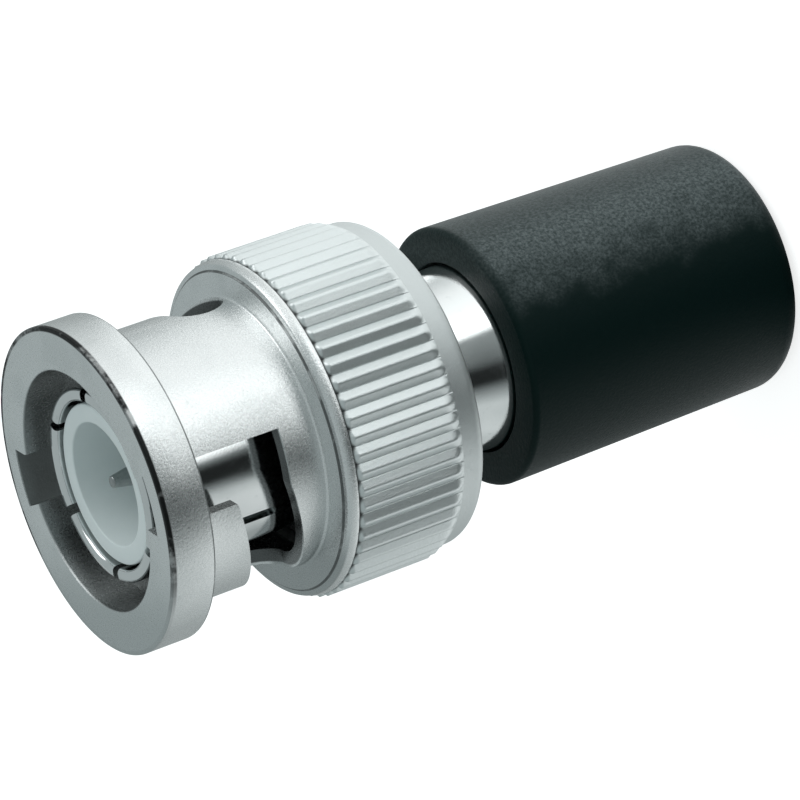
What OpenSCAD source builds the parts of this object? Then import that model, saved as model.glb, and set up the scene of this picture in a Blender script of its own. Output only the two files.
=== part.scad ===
// Bayonet coaxial plug with a plastic end cap: a terminating plug.
// It stands on the end of its cap, with the mating face at the top.
// Everything is turned about the Z axis. A depth is measured down from
// the mating face, which is the front face of the coupling nut.

/* [Coupling nut] */
// Bore that takes the mating socket
nut_bore_d = 9.8; // [9.7:0.05:9.95]
// Chamfer at the mouth of the bore
mouth_chamfer = 0.3; // [0.1:0.05:0.4]
// Wall of the slotted barrel
barrel_wall = 0.65; // [0.55:0.05:0.75]
// How far the grip flange stands out from the barrel
flange_rise = 1.15; // [0.8:0.05:1.4]
// Thickness of the grip flange at the mating face
flange_t = 1.9; // [1.2:0.1:2.4]
// How far the grip ribs stand out from the barrel
knurl_rise = 1.55; // [1.4:0.05:1.9]
// Number of grip ribs
rib_count = 60; // [40:2:72]
// Height of the grip ribs
rib_h = 0.28; // [0.1:0.02:0.32]
// Share of the pitch that the flat top of a rib takes
rib_top = 0.56; // [0.4:0.02:0.65]
// Depth at which the ribs begin
knurl_start = 8.2; // [8:0.1:8.6]
// Length of the smooth band behind the ribs
band_len = 1.15; // [0.8:0.05:1.6]
// How much lower the band lies than the ribs
band_drop = 0.3; // [0.3:0.05:0.6]
// Radius on the rear edge of the band
band_round = 0.45; // [0.1:0.05:0.6]
// Length of the nut behind its inner lip
skirt_len = 1.27; // [1:0.01:2]

/* [Bayonet slots] */
// Width of the slots, for the studs of the mating socket
slot_w = 2.4; // [2:0.1:2.6]
// Depth of the two entry channels in the wall of the bore
channel_cut = 0.85; // [0.8:0.05:1]
// Depth of the middle of the slot where the ramp begins
ramp_start = 4.9; // [4.4:0.1:5.2]
// How much deeper the slot lies at its locked end
ramp_drop = 1.5; // [1:0.1:1.5]
// Turn of the nut between entry and lock
lock_turn = 90; // [70:1:100]
// Turn before the ramp begins
level_turn = 12; // [6:1:20]

/* [Contacts] */
// Depth of the front of the spring fingers
finger_front = 0.65; // [0.4:0.05:1]
// Room between fingers and nut, for the wall of the mating socket
socket_room = 0.92; // [0.85:0.01:1]
// Wall of the spring fingers
finger_wall = 0.53; // [0.4:0.01:0.6]
// Number of spring fingers
finger_count = 6; // [4:1:8]
// Width of the slots between the fingers
finger_gap = 0.45; // [0.3:0.05:0.6]
// Depth at which the slots between the fingers end
finger_root = 6.3; // [5:0.1:7]
// Turn of the first slot from the entry channel
finger_turn = 22; // [0:1:60]
// Diameter of the centre pin
pin_d = 1.35; // [1.3:0.01:1.4]
// Depth of the tip of the pin
pin_tip = 1.2; // [1:0.1:2]
// Diameter of the flat on the tip of the pin
pin_tip_d = 0.34; // [0.2:0.02:0.5]
// Length of the taper on the pin
pin_taper = 2.4; // [1:0.1:2.6]
// Diameter of the pin inside the insulators
shank_d = 1; // [0.9:0.02:1.02]

/* [Insulators] */
// Depth of the front of the white insulator
insulator_front = 0.9; // [0.8:0.05:1.4]
// Room between the white insulator and the fingers
insulator_room = 0.15; // [0.1:0.01:0.3]
// Wall of the white insulator round its recess
insulator_wall = 0.78; // [0.6:0.02:0.9]
// Depth of the floor of the recess
recess_floor = 6.9; // [6.2:0.1:8]
// Length of the insulator behind the white one
bead_len = 3.3; // [2.4:0.1:4]

/* [Body] */
// Depth of the front of the gasket
gasket_front = 8.9; // [8.7:0.1:9.1]
// Thickness of the gasket
gasket_t = 0.8; // [0.5:0.05:1]
// Thickness of the flange that the springs bear on
body_flange_t = 0.8; // [0.6:0.05:0.9]
// Length of neck that shows between nut and cap
neck_show = 3.2; // [2.5:0.1:6]
// How much thinner than the neck the stub inside the cap is
stub_step = 0.6; // [0.5:0.05:0.8]
// Length of the stub
stub_len = 7.6; // [7.4:0.1:9]

/* [Spring pack] */
// Width of the washers round the neck
washer_w = 0.66; // [0.6:0.01:0.72]
// Thickness of the flat washers
washer_t = 0.2; // [0.15:0.01:0.25]
// Height of one wave washer as fitted
wave_h = 0.55; // [0.5:0.01:0.58]
// Thickness of the wave washer strip
wave_t = 0.16; // [0.1:0.01:0.18]
// Waves round each washer
wave_count = 3; // [3:1:4]
// Thickness of the inner lip of the nut
lip_t = 1.1; // [0.8:0.05:1.2]
// Thickness of the retaining ring
ring_t = 0.5; // [0.4:0.05:0.6]
// Opening of the retaining ring
ring_gap = 2.2; // [1.6:0.1:3]

/* [Cap] */
// Height of the cap
cap_h = 13.3; // [12.6:0.1:16]
// Room round the neck in the recess at the mouth
mouth_room = 0.35; // [0.3:0.05:1]
// Depth of the recess at the mouth of the cap
mouth_depth = 1; // [0.6:0.05:1.4]
// Wall of the cap round that recess
cap_wall = 1.2; // [0.6:0.05:1.3]
// How much narrower the closed end is, on the radius
cap_taper = 0.17; // [0.05:0.01:0.4]
// Radius on the closed end
cap_round = 0.9; // [0.3:0.05:1.4]

/* [Load resistor] */
// Diameter of the resistor over its end caps
resistor_d = 2.5; // [2.2:0.05:2.8]
// Length of the resistor
resistor_len = 6.2; // [5.5:0.1:6.4]
// Diameter of its leads
lead_d = 0.56; // [0.5:0.02:0.6]

/* [Hidden] */
$fn = 96;

// clearances
eps = 0.01;
running_gap = 0.06;   // nut on neck
slip_gap = 0.1;       // body flange and gasket in the bore of the nut
press_gap = 0.02;     // pieces pressed or glued together
crest_gap = 0.01;     // between touching crests of the spring pack
pack_in_gap = 0.12;   // washers on the neck
pack_out_gap = 0.22;  // washers in the bore of the nut

// depths down from the mating face
gasket_back = gasket_front + gasket_t;
spring_start = gasket_back + body_flange_t;
wave_mid = spring_start + wave_h + crest_gap;
thrust_start = wave_mid + wave_h + crest_gap;
lip_start = thrust_start + washer_t + crest_gap;
lip_end = lip_start + lip_t;
back_end = lip_end + washer_t;
ring_start = back_end + crest_gap;
ring_groove_w = ring_t + 2 * crest_gap;
nut_len = lip_end + skirt_len;
knurl_end = nut_len - band_len;
neck_end = nut_len + neck_show + mouth_depth;
stub_end = neck_end + stub_len;
face_z = cap_h + neck_show + nut_len;

// nut, outwards from its bore
nut_bore_r = nut_bore_d / 2;
channel_r = nut_bore_r + channel_cut;
barrel_r = nut_bore_r + barrel_wall;
flange_r = barrel_r + flange_rise;
knurl_r = barrel_r + knurl_rise;
knurl_root_r = knurl_r - rib_h;
band_r = knurl_r - band_drop;
edge = 0.12;                       // small broken edges
flare_r = 0.45;                    // hollow where barrel meets shoulder
shoulder_depth = knurl_start - 0.55;
rim_r = knurl_r - 0.15;            // smooth rim in front of the ribs
rim_w = 0.5;                       // width of the chamfer on that rim
rim_land = 0.12;
rib_flank = 0.1;                   // share of the pitch of one sloping flank
slot_steps = 9;
slot_lap = 0.02;                   // overlap of the lengths of a ramp
slot_reach = knurl_r - edge;

// washers, neck and stub, inwards from the bore of the nut
pack_out_r = nut_bore_r - pack_out_gap;
pack_in_r = pack_out_r - washer_w;
neck_r = pack_in_r - pack_in_gap;
lip_r = neck_r + running_gap;
body_flange_r = nut_bore_r - slip_gap;
groove_cut = 0.42;                 // depth of the groove for the retaining ring
groove_r = neck_r - groove_cut;
ring_r = pack_out_r - slip_gap;
wave_parts = 24 * wave_count;
stub_r = neck_r - stub_step;
barb_count = 3;
barb_w = 0.5;
barb_pitch = 1.5;
barb_cut = 0.22;

// spring fingers and the tail that holds them in the body
sleeve_r = nut_bore_r - socket_room;
sleeve_bore_r = sleeve_r - finger_wall;
finger_lip = 0.15;                 // broken edges at the tips
seat_step = 0.18;                  // how much lower the seat of the gasket is
seat_r = sleeve_r - seat_step;
tail_r = sleeve_bore_r;
tail_wall = 0.4;
tail_floor = 0.4;                  // thickness of the turned-in end
tail_len = 2;
sleeve_end = gasket_back + tail_len;

// insulators and pin
insulator_r = sleeve_bore_r - insulator_room;
recess_r = insulator_r - insulator_wall;
insulator_rim = 0.12;
insulator_step = sleeve_end - tail_floor - tail_wall - 0.1;  // where it narrows
spigot_len = 0.6;                  // how far it stands out behind the tail
insulator_end = sleeve_end + spigot_len;
bead_r = tail_r - tail_wall - 0.1;
spigot_r = bead_r - 0.2;
bead_end = insulator_end + bead_len;
pin_r = pin_d / 2;
shank_r = shank_d / 2;
collar_r = 1.05;
collar_t = 0.8;
cup_len = 1.6;                     // hollow end that takes the lead
cup_show = 1.4;                    // how far it stands out behind the bead
pin_end = bead_end + cup_show;

// earth disc and resistor, which hangs between the pin and the disc
chamber_gap = 0.9;                 // air round the resistor
chamber_r = resistor_d / 2 + chamber_gap;
disc_t = 0.8;
disc_seat = 0.4;                   // step that the disc rests on
disc_inset = 0.2;
disc_r = chamber_r + disc_seat;
disc_start = stub_end - disc_t - disc_inset;
rear_gap = 0.5;                    // bare lead behind the resistor
resistor_start = disc_start - resistor_len - rear_gap;
ferrule_len = 1.1;                 // metal cap at each end of the resistor
waist = 0.2;                       // how far its middle is thinner
bead_h = 0.45;
bead_foot_r = 0.8;
bead_top_r = 0.4;
lead_show = 0.4;                   // lead that stands out of the disc

// cap
mouth_r = neck_r + mouth_room;
cap_r = mouth_r + cap_wall;
cap_end_r = cap_r - cap_taper;
mouth_edge = 0.25;
cap_air = 0.4;                     // air behind the stub

function up(depth) = face_z - depth;
// points of a round corner about [x, y], from angle a to angle b
function bow(x, y, r, a, b, n = 5) =
    [for (i = [0:n]) [x + r * cos(a + (b - a) * i / n), y + r * sin(a + (b - a) * i / n)]];

module turned(points) { rotate_extrude() polygon(points); }

// ring with its front face at the depth given
module washer(depth, in_r, out_r, t) {
    translate([0, 0, up(depth + t)])
        difference() {
            cylinder(r = out_r, h = t);
            translate([0, 0, -eps]) cylinder(r = in_r, h = t + 2 * eps);
        }
}

// ---- coupling nut ----

module nut_outside() {
    turned(concat(
        [[0, up(0)], [flange_r - edge, up(0)], [flange_r, up(edge)]],
        bow(flange_r - edge, up(flange_t - edge), edge, 0, -90, 3),
        [[barrel_r, up(flange_t)]],
        bow(barrel_r + flare_r, up(shoulder_depth - flare_r), flare_r, 180, 270),
        [[rim_r - rim_w, up(shoulder_depth)], [rim_r, up(knurl_start - rim_land)],
         [rim_r, up(knurl_start)], [knurl_root_r, up(knurl_start)],
         [knurl_root_r, up(knurl_end)], [band_r, up(knurl_end)]],
        bow(band_r - band_round, up(nut_len - band_round), band_round, 0, -90),
        [[0, up(nut_len)]]
    ));
}

// straight flat-topped ribs, chamfered at both ends
module grip_ribs() {
    pitch = 360 / rib_count;
    half_top = pitch * rib_top / 2;
    half_foot = half_top + pitch * rib_flank;
    intersection() {
        translate([0, 0, up(knurl_end)])
            linear_extrude(height = knurl_end - knurl_start)
                polygon([for (i = [0:rib_count - 1], s = [-1, 1], k = [0, 1])
                    let (
                        foot = (s < 0) == (k == 0),
                        a = i * pitch + s * (foot ? half_foot : half_top),
                        r = foot ? knurl_root_r - eps : knurl_r
                    )
                    [r * cos(a), r * sin(a)]]);
        turned([
            [0, up(knurl_start)], [rim_r, up(knurl_start)],
            [knurl_r + eps, up(knurl_start + knurl_r + eps - rim_r)],
            [knurl_r + eps, up(knurl_end - rib_h)],
            [knurl_root_r, up(knurl_end)], [0, up(knurl_end)]
        ]);
    }
}

module nut_inside() {
    turned([
        [0, up(-eps)], [nut_bore_r + mouth_chamfer + eps, up(-eps)],
        [nut_bore_r, up(mouth_chamfer)], [nut_bore_r, up(lip_start)],
        [lip_r, up(lip_start)], [lip_r, up(lip_end)],
        [nut_bore_r, up(lip_end)], [nut_bore_r, up(nut_len + eps)],
        [0, up(nut_len + eps)]
    ]);
}

// depth of the middle of a slot, after the nut has turned by t
function slot_depth(t) =
    ramp_start + ramp_drop * max(0, (t - level_turn) / (lock_turn - level_turn));

// one slot: a channel in from the face, then a ramp that turns away from it
module bayonet_slot() {
    step = lock_turn / slot_steps;
    half = slot_w / 2;
    back = ramp_start + half;
    intersection() {
        translate([0, -half, up(back)]) cube([slot_reach, slot_w, back + 1]);
        translate([0, 0, up(back)]) cylinder(r = channel_r, h = back + 1);
    }
    // the ramp: short straight lengths, each cut radially
    for (i = [0:slot_steps - 1]) {
        t = i * step;
        mid = t + step / 2;
        w = channel_r * tan(step / 2) + slot_lap;
        z0 = slot_depth(t);
        z1 = slot_depth(t + step);
        rotate([0, 0, -mid])
            rotate([90, 0, 90])
                linear_extrude(height = slot_reach)
                    polygon([
                        [w, up(z0 - half)], [-w, up(z1 - half)],
                        [-w, up(z1 + half)], [w, up(z0 + half)]
                    ]);
    }
    // the round seat at the locked end
    rotate([0, 0, -lock_turn])
        translate([0, 0, up(slot_depth(lock_turn))])
            rotate([0, 90, 0])
                cylinder(r = half, h = slot_reach);
}

module coupling_nut() {
    color("silver")
        difference() {
            union() {
                nut_outside();
                grip_ribs();
            }
            nut_inside();
            for (a = [0, 180]) rotate([0, 0, a]) bayonet_slot();
        }
}

// ---- body, turned in one piece ----

module plug_body() {
    color("silver")
        difference() {
            union() {
                washer(gasket_back, eps, body_flange_r, body_flange_t);
                washer(spring_start - eps, eps, neck_r, neck_end - spring_start + eps);
                washer(neck_end - eps, eps, stub_r, stub_end - neck_end + eps);
            }
            // groove for the retaining ring
            translate([0, 0, up(back_end + ring_groove_w)])
                difference() {
                    cylinder(r = nut_bore_r, h = ring_groove_w);
                    cylinder(r = groove_r, h = ring_groove_w);
                }
            // grooves that key the cap
            for (i = [1:barb_count])
                translate([0, 0, up(neck_end + i * barb_pitch + barb_w)])
                    difference() {
                        cylinder(r = neck_r, h = barb_w);
                        cylinder(r = stub_r - barb_cut, h = barb_w);
                    }
            // stepped bore
            translate([0, 0, up(sleeve_end)])
                cylinder(r = tail_r + press_gap, h = tail_len + eps);
            translate([0, 0, up(bead_end)])
                cylinder(r = bead_r + press_gap, h = bead_end - sleeve_end + eps);
            translate([0, 0, up(stub_end + eps)])
                cylinder(r = chamber_r, h = stub_end - bead_end + 2 * eps);
            translate([0, 0, up(stub_end + eps)])
                cylinder(r = disc_r + press_gap, h = stub_end - disc_start + eps);
        }
}

// ---- slotted spring sleeve ----

module outer_contact() {
    color("gainsboro")
        difference() {
            turned([
                [sleeve_bore_r, up(finger_front + finger_lip)],
                [sleeve_bore_r + finger_lip, up(finger_front)],
                [sleeve_r - finger_lip, up(finger_front)],
                [sleeve_r, up(finger_front + finger_lip)],
                [sleeve_r, up(gasket_front)], [seat_r, up(gasket_front)],
                [seat_r, up(gasket_back)], [tail_r, up(gasket_back)],
                [tail_r, up(sleeve_end)], [tail_r - tail_wall, up(sleeve_end)],
                [tail_r - tail_wall, up(sleeve_end - tail_floor)],
                [sleeve_bore_r, up(sleeve_end - tail_floor - tail_wall)]
            ]);
            for (i = [0:finger_count - 1])
                rotate([0, 0, finger_turn + i * 360 / finger_count]) finger_slot();
        }
}

module finger_slot() {
    translate([0, -finger_gap / 2, up(finger_root - finger_gap / 2)])
        cube([nut_bore_r, finger_gap, finger_root]);
    translate([0, 0, up(finger_root - finger_gap / 2)])
        rotate([0, 90, 0]) cylinder(r = finger_gap / 2, h = nut_bore_r);
}

module gasket() {
    color("dimgray") washer(gasket_front, seat_r + press_gap, body_flange_r, gasket_t);
}

// ---- insulators and pin ----

module dielectric() {
    color("white")
        turned([
            [recess_r + insulator_rim, up(insulator_front)],
            [insulator_r - insulator_rim, up(insulator_front)],
            [insulator_r, up(insulator_front + insulator_rim)],
            [insulator_r, up(insulator_step)], [spigot_r, up(insulator_step)],
            [spigot_r, up(insulator_end)], [collar_r + press_gap, up(insulator_end)],
            [collar_r + press_gap, up(insulator_end - collar_t)],
            [shank_r + press_gap, up(insulator_end - collar_t)],
            [shank_r + press_gap, up(recess_floor)],
            [recess_r, up(recess_floor)], [recess_r, up(insulator_front + insulator_rim)]
        ]);
}

module rear_insulator() {
    color("white")
        washer(insulator_end, shank_r + press_gap, bead_r, bead_end - insulator_end);
}

module centre_contact() {
    color("silver")
        difference() {
            turned([
                [0, up(pin_tip)], [pin_tip_d / 2, up(pin_tip)],
                [pin_r, up(pin_tip + pin_taper)],
                [pin_r, up(recess_floor)], [shank_r, up(recess_floor)],
                [shank_r, up(insulator_end - collar_t)],
                [collar_r, up(insulator_end - collar_t)],
                [collar_r, up(insulator_end)], [shank_r, up(insulator_end)],
                [shank_r, up(pin_end)], [0, up(pin_end)]
            ]);
            translate([0, 0, up(pin_end + eps)])
                cylinder(d = lead_d + 2 * press_gap, h = cup_len + eps);
        }
}

// ---- spring pack ----

// a washer whose strip waves up and down; phase turns the crests
module wave_washer(depth, phase) {
    swing = (wave_h - wave_t) / 2;
    n = wave_parts;
    mid = up(depth + wave_h / 2);
    wave = [for (i = [0:n - 1]) swing * sin(wave_count * 360 * i / n + phase)];
    ring = [for (k = [0:3], i = [0:n - 1])
        let (
            r = k < 2 ? pack_in_r : pack_out_r,
            z = mid + wave[i] + (k % 2 == 0 ? -wave_t : wave_t) / 2
        )
        [r * cos(360 * i / n), r * sin(360 * i / n), z]];
    // corner rings in order: inner low, inner high, outer high, outer low
    turn = [0, 1, 3, 2];
    polyhedron(ring, [for (k = [0:3], i = [0:n - 1])
        let (
            a = turn[k] * n,
            b = turn[(k + 1) % 4] * n,
            j = (i + 1) % n
        )
        each [[a + i, a + j, b + j], [a + i, b + j, b + i]]]);
}

module wave_washer_front() { color("lightgray") wave_washer(spring_start, 0); }
module wave_washer_rear() { color("lightgray") wave_washer(wave_mid, 180); }

module thrust_washer() {
    color("lightgray") washer(thrust_start, pack_in_r, pack_out_r, washer_t);
}

module back_washer() {
    color("lightgray") washer(lip_end + crest_gap, pack_in_r, pack_out_r, washer_t - crest_gap);
}

module retaining_ring() {
    color("lightgray")
        difference() {
            washer(ring_start, groove_r + press_gap, ring_r, ring_t);
            translate([0, -ring_gap / 2, up(ring_start + ring_t + eps)])
                cube([nut_bore_r, ring_gap, ring_t + 2 * eps]);
        }
}

// ---- load resistor and earth end ----

module resistor() {
    r = resistor_d / 2;
    color("skyblue")
        turned([
            [0, up(resistor_start)], [r - edge, up(resistor_start)],
            [r, up(resistor_start + edge)], [r, up(resistor_start + ferrule_len)],
            [r - waist, up(resistor_start + ferrule_len + waist)],
            [r - waist, up(resistor_start + resistor_len - ferrule_len - waist)],
            [r, up(resistor_start + resistor_len - ferrule_len)],
            [r, up(resistor_start + resistor_len - edge)],
            [r - edge, up(resistor_start + resistor_len)],
            [0, up(resistor_start + resistor_len)]
        ]);
}

module lead(from, to) {
    color("silver") translate([0, 0, up(to)]) cylinder(d = lead_d, h = to - from);
}

module front_lead() { lead(pin_end - cup_len, resistor_start); }
module rear_lead() { lead(resistor_start + resistor_len, disc_start + disc_t + lead_show); }

module earth_disc() {
    color("goldenrod") washer(disc_start, lead_d / 2 + press_gap, disc_r, disc_t);
}

module solder_bead() {
    foot = disc_start + disc_t;
    color("lightgray")
        difference() {
            translate([0, 0, up(foot + bead_h)])
                cylinder(r1 = bead_top_r, r2 = bead_foot_r, h = bead_h);
            translate([0, 0, up(foot + bead_h + eps)])
                cylinder(r = lead_d / 2, h = bead_h + 2 * eps);
        }
}

// ---- moulded cap ----

module end_cap() {
    bore_r = stub_r + press_gap;
    floor_z = up(stub_end) - cap_air;
    color([0.1, 0.1, 0.1])
        turned(concat(
            [[0, 0]],
            bow(cap_end_r - cap_round, cap_round, cap_round, -90, 0, 8),
            bow(cap_r - mouth_edge, cap_h - mouth_edge, mouth_edge, 0, 90, 3),
            [[mouth_r, cap_h], [mouth_r, cap_h - mouth_depth],
             [bore_r, cap_h - mouth_depth], [bore_r, floor_z], [0, floor_z]]
        ));
}

coupling_nut();
plug_body();
outer_contact();
gasket();
dielectric();
rear_insulator();
centre_contact();
wave_washer_front();
wave_washer_rear();
thrust_washer();
back_washer();
retaining_ring();
resistor();
front_lead();
rear_lead();
earth_disc();
solder_bead();
end_cap();
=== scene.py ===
# %% [markdown]
# A terminating plug for a bayonet coaxial line, dressed for its portrait.
# The solids, the spring-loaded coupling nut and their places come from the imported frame.
# This lesson makes the pieces that show once more, with the edges and curves that light
# needs, and gives each of them the finish of the real piece: plated metal, white
# dielectric and moulded black plastic.
# Every size below is in millimetres and becomes metres only where Blender needs it.

# %% Load the frame
import math

import bmesh
import bpy
from mathutils import Matrix, Vector


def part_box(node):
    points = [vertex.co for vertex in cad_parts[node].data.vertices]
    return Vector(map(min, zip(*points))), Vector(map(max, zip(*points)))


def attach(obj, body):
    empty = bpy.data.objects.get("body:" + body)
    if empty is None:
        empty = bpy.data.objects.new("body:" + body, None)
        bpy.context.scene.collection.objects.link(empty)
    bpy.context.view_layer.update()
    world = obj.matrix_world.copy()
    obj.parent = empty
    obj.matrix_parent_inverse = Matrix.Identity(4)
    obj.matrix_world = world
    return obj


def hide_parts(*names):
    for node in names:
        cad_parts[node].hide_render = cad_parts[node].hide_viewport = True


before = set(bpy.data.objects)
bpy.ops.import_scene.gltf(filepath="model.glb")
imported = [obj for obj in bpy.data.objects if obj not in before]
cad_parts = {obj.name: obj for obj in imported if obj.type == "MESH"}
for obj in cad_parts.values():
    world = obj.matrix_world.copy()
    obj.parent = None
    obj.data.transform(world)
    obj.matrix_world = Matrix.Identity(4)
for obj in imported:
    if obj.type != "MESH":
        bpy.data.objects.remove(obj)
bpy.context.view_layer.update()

MM = 0.001

# %% [markdown]
# The frame says where every piece is, so the lesson asks it and types no places.
# A small helper turns a node's box into the numbers that a turned part has:
# its two ends along the axis and its outer radius.

# %% Read the turned pieces
def ends(node):
    """Lower end, upper end and outer radius of a piece turned about Z, in millimetres."""
    low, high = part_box(node)
    return low.z / MM, high.z / MM, high.x / MM


nut_low, nut_high, nut_radius = ends("coupling_nut")
cap_low, cap_high, cap_radius = ends("end_cap")
sleeve_low, sleeve_high, sleeve_radius = ends("outer_contact")
print("nut", nut_low, nut_high, nut_radius)
print("cap", cap_low, cap_high, cap_radius)
print("sleeve", sleeve_low, sleeve_high, sleeve_radius)

# %% [markdown]
# The camera stands where a product photographer would put it: close to the mating face,
# a little above it, with a long lens so that the circles stay true ellipses.
# It looks at a point near the middle of the plug and is rolled on its side,
# so that the plug, which stands on its cap, seems to lie across the picture.

# %% Place the camera
camera_distance = 199.93
camera_turn = 14.25
camera_rise = 26.73
camera_roll = -109.76
focal_length = 225.0
aim = Vector((0.191, -0.751, 16.489)) * MM


def direction(turn, rise):
    """A unit vector that points the given turn about Z and rise above the floor, in degrees."""
    around = math.radians(turn)
    above = math.radians(rise)
    level = math.cos(above)
    return Vector((level * math.cos(around), level * math.sin(around), math.sin(above)))


towards_camera = direction(camera_turn, camera_rise)
lens = bpy.data.cameras.new("portrait_lens")
lens.lens = focal_length
lens.sensor_width = 36.0
lens.clip_start = 10 * MM
camera = bpy.data.objects.new("portrait_camera", lens)
bpy.context.scene.collection.objects.link(camera)
look = (-towards_camera).to_track_quat("-Z", "Y").to_matrix().to_4x4()
place = Matrix.Translation(aim + towards_camera * camera_distance * MM)
camera.matrix_world = place @ look @ Matrix.Rotation(math.radians(camera_roll), 4, "Z")
bpy.context.scene.camera = camera
print("camera at, mm:", [round(value / MM, 1) for value in camera.matrix_world.translation])

# %% [markdown]
# Finishes are built from maths on shader sockets. Writing that maths as plain Python
# keeps it readable, so one small class wraps a socket: adding or multiplying two of them
# puts a Math node in the tree and returns its output, wrapped again. Geometry trees have
# the same Math nodes, so the class serves them too.

# %% A class for shader maths
class Wire:
    """One output in a node tree, which Python's operators combine."""

    def __init__(self, tree, socket):
        self.tree = tree
        self.socket = socket

    def node(self, kind, settings=None, inputs=None, output=0):
        """Any other node: its type, its settings, then values or wires for its sockets."""
        made = self.tree.nodes.new(kind)
        for name, value in (settings or {}).items():
            if name == "stops":
                fill_ramp(made.color_ramp, value)
            else:
                setattr(made, name, value)
        for name, value in (inputs or {}).items():
            if isinstance(value, Wire):
                self.tree.links.new(value.socket, made.inputs[name])
            else:
                made.inputs[name].default_value = value
        return Wire(self.tree, made.outputs[output])

    def maths(self, operation, first, second):
        """A Math node on two numbers or wires."""
        return self.node("ShaderNodeMath", {"operation": operation}, {0: first, 1: second})

    def __add__(self, other):
        return self.maths("ADD", self, other)

    def __radd__(self, other):
        return self.maths("ADD", other, self)

    def __sub__(self, other):
        return self.maths("SUBTRACT", self, other)

    def __rsub__(self, other):
        return self.maths("SUBTRACT", other, self)

    def __mul__(self, other):
        return self.maths("MULTIPLY", self, other)

    def __rmul__(self, other):
        return self.maths("MULTIPLY", other, self)

    def __pow__(self, other):
        return self.maths("POWER", self, other)

    def between(self, low, high):
        """0 below low, 1 above high and a smooth step between them."""
        inputs = {"Value": self, "From Min": low, "From Max": high}
        return self.node("ShaderNodeMapRange", {"interpolation_type": "SMOOTHSTEP"}, inputs)

    def above(self, limit, soft=0.07):
        """1 above the limit and 0 below it, with an edge that is soft wide."""
        return self.between(limit - soft / 2, limit + soft / 2)

    def below(self, limit, soft=0.07):
        """1 below the limit and 0 above it, with an edge that is soft wide."""
        return 1.0 - self.above(limit, soft)

    def axis(self, index):
        """One number of a vector: 0 for X, 1 for Y and 2 for Z."""
        return self.node("ShaderNodeSeparateXYZ", {}, {0: self}, output=index)

    def blend(self, first, second):
        """The colour first where this wire is 0 and second where it is 1."""
        inputs = {"Factor": self, 6: first, 7: second}
        return self.node("ShaderNodeMix", {"data_type": "RGBA"}, inputs, output=2)


def fill_ramp(ramp, stops):
    """Gives a colour ramp the grey levels in stops, a list of (place, level)."""
    while len(ramp.elements) < len(stops):
        ramp.elements.new(0.5)
    for element, (place_on_ramp, grey) in zip(ramp.elements, stops):
        element.position = place_on_ramp
        element.color = (grey, grey, grey, 1.0)


# %% [markdown]
# A finish starts from the piece's own coordinates, so its grain stays on the piece when a
# joint moves. Noise at one size gives tumbled grain, at a larger size stains and handling.
# The helpers below start a material, hand out those patterns and close it again.

# %% Start and close a material
def start(name):
    """A new material with an empty Principled surface, and a wire with its Object coordinates."""
    material = bpy.data.materials.new(name)
    material.use_nodes = True
    tree = material.node_tree
    coordinates = tree.nodes.new("ShaderNodeTexCoord")
    return material, Wire(tree, coordinates.outputs["Object"])


def speckle(place, size, detail=2.0, roughness=0.5):
    """Noise whose lumps are about size millimetres across, from 0 to 1 around 0.5."""
    inputs = {"Vector": place, "Scale": 1.0 / (size * MM), "Detail": detail, "Roughness": roughness}
    return place.node("ShaderNodeTexNoise", {}, inputs)


def paint(material, **inputs):
    """Sets or links the named sockets of the material's Principled surface."""
    surface = material.node_tree.nodes["Principled BSDF"]
    for name, value in inputs.items():
        socket = surface.inputs[name.replace("_", " ")]
        if isinstance(value, Wire):
            material.node_tree.links.new(value.socket, socket)
        else:
            socket.default_value = value
    return material


def relief(height, depth):
    """A normal whose bumps are depth millimetres high."""
    inputs = {"Height": height, "Distance": depth * MM, "Strength": 1.0}
    return height.node("ShaderNodeBump", {}, inputs)


# %% [markdown]
# The finish of the coupling nut follows its form: shade is painted into its bore and its corners,
# and its edges are rubbed and carry dirt. So the sizes that its shape and its finish both
# need come first. Radii are measured from the axis and depths down from the mating face.

# %% Sizes of the coupling nut
barrel_radius = nut_radius - 1.55
flange_radius = barrel_radius + 1.15
bore_radius = barrel_radius - 0.65
channel_radius = bore_radius + 0.85
root_radius = nut_radius - 0.20
rim_radius = nut_radius - 0.15
band_radius = nut_radius - 0.30
rim_line = rim_radius - 0.35
flange_depth = 1.9
shoulder_depth = 7.65
grip_start = 8.2
band_width = 1.15
nut_length = nut_high - nut_low
grip_end = nut_length - band_width
print("nut is", round(nut_length, 2), "mm long, its grip from", grip_start, "to", round(grip_end, 2))

# %% [markdown]
# The nut is a zinc casting with a satin nickel plate. Such a plate is slightly uneven: a
# fine grain scatters the light, and a few patches are duller. The same recipe with less
# dullness and a flatter grain gives the polished body and the sprung sleeve.

# %% Satin nickel
def satin_nickel(name, tone, dullness, grain_size, grain_depth, wear_and_shade=None):
    """Nickel plate; the last argument gives rows of a mask, a tone and the dullness it adds, for wear,
    dirt and painted shade.
    """
    material, place = start(name)
    grain = speckle(place, grain_size, detail=5.0, roughness=0.72)
    cloud = speckle(place, 1.6)
    flaws = speckle(place, 0.45, detail=4.0, roughness=0.7).between(0.60, 0.74)
    bright = (tone * 0.98, tone, tone, 1.0)
    dull = (tone * 0.78, tone * 0.81, tone * 0.81, 1.0)
    colour = (flaws * 0.45 + cloud.between(0.45, 0.75) * 0.35).blend(bright, dull)
    rough = dullness + (grain - 0.5) * dullness * 0.7 + flaws * 0.10
    if wear_and_shade:
        # masks of wear, dirt and painted shade darken the plate
        for mask, level, blur in wear_and_shade(place):
            colour = mask.blend(colour, (tone * level * 0.95, tone * level, tone * level, 1.0))
            rough = rough + mask * blur
    return paint(
        material,
        Base_Color=colour,
        Metallic=1.0,
        Roughness=rough,
        Normal=relief(grain, grain_depth),
    )
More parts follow.
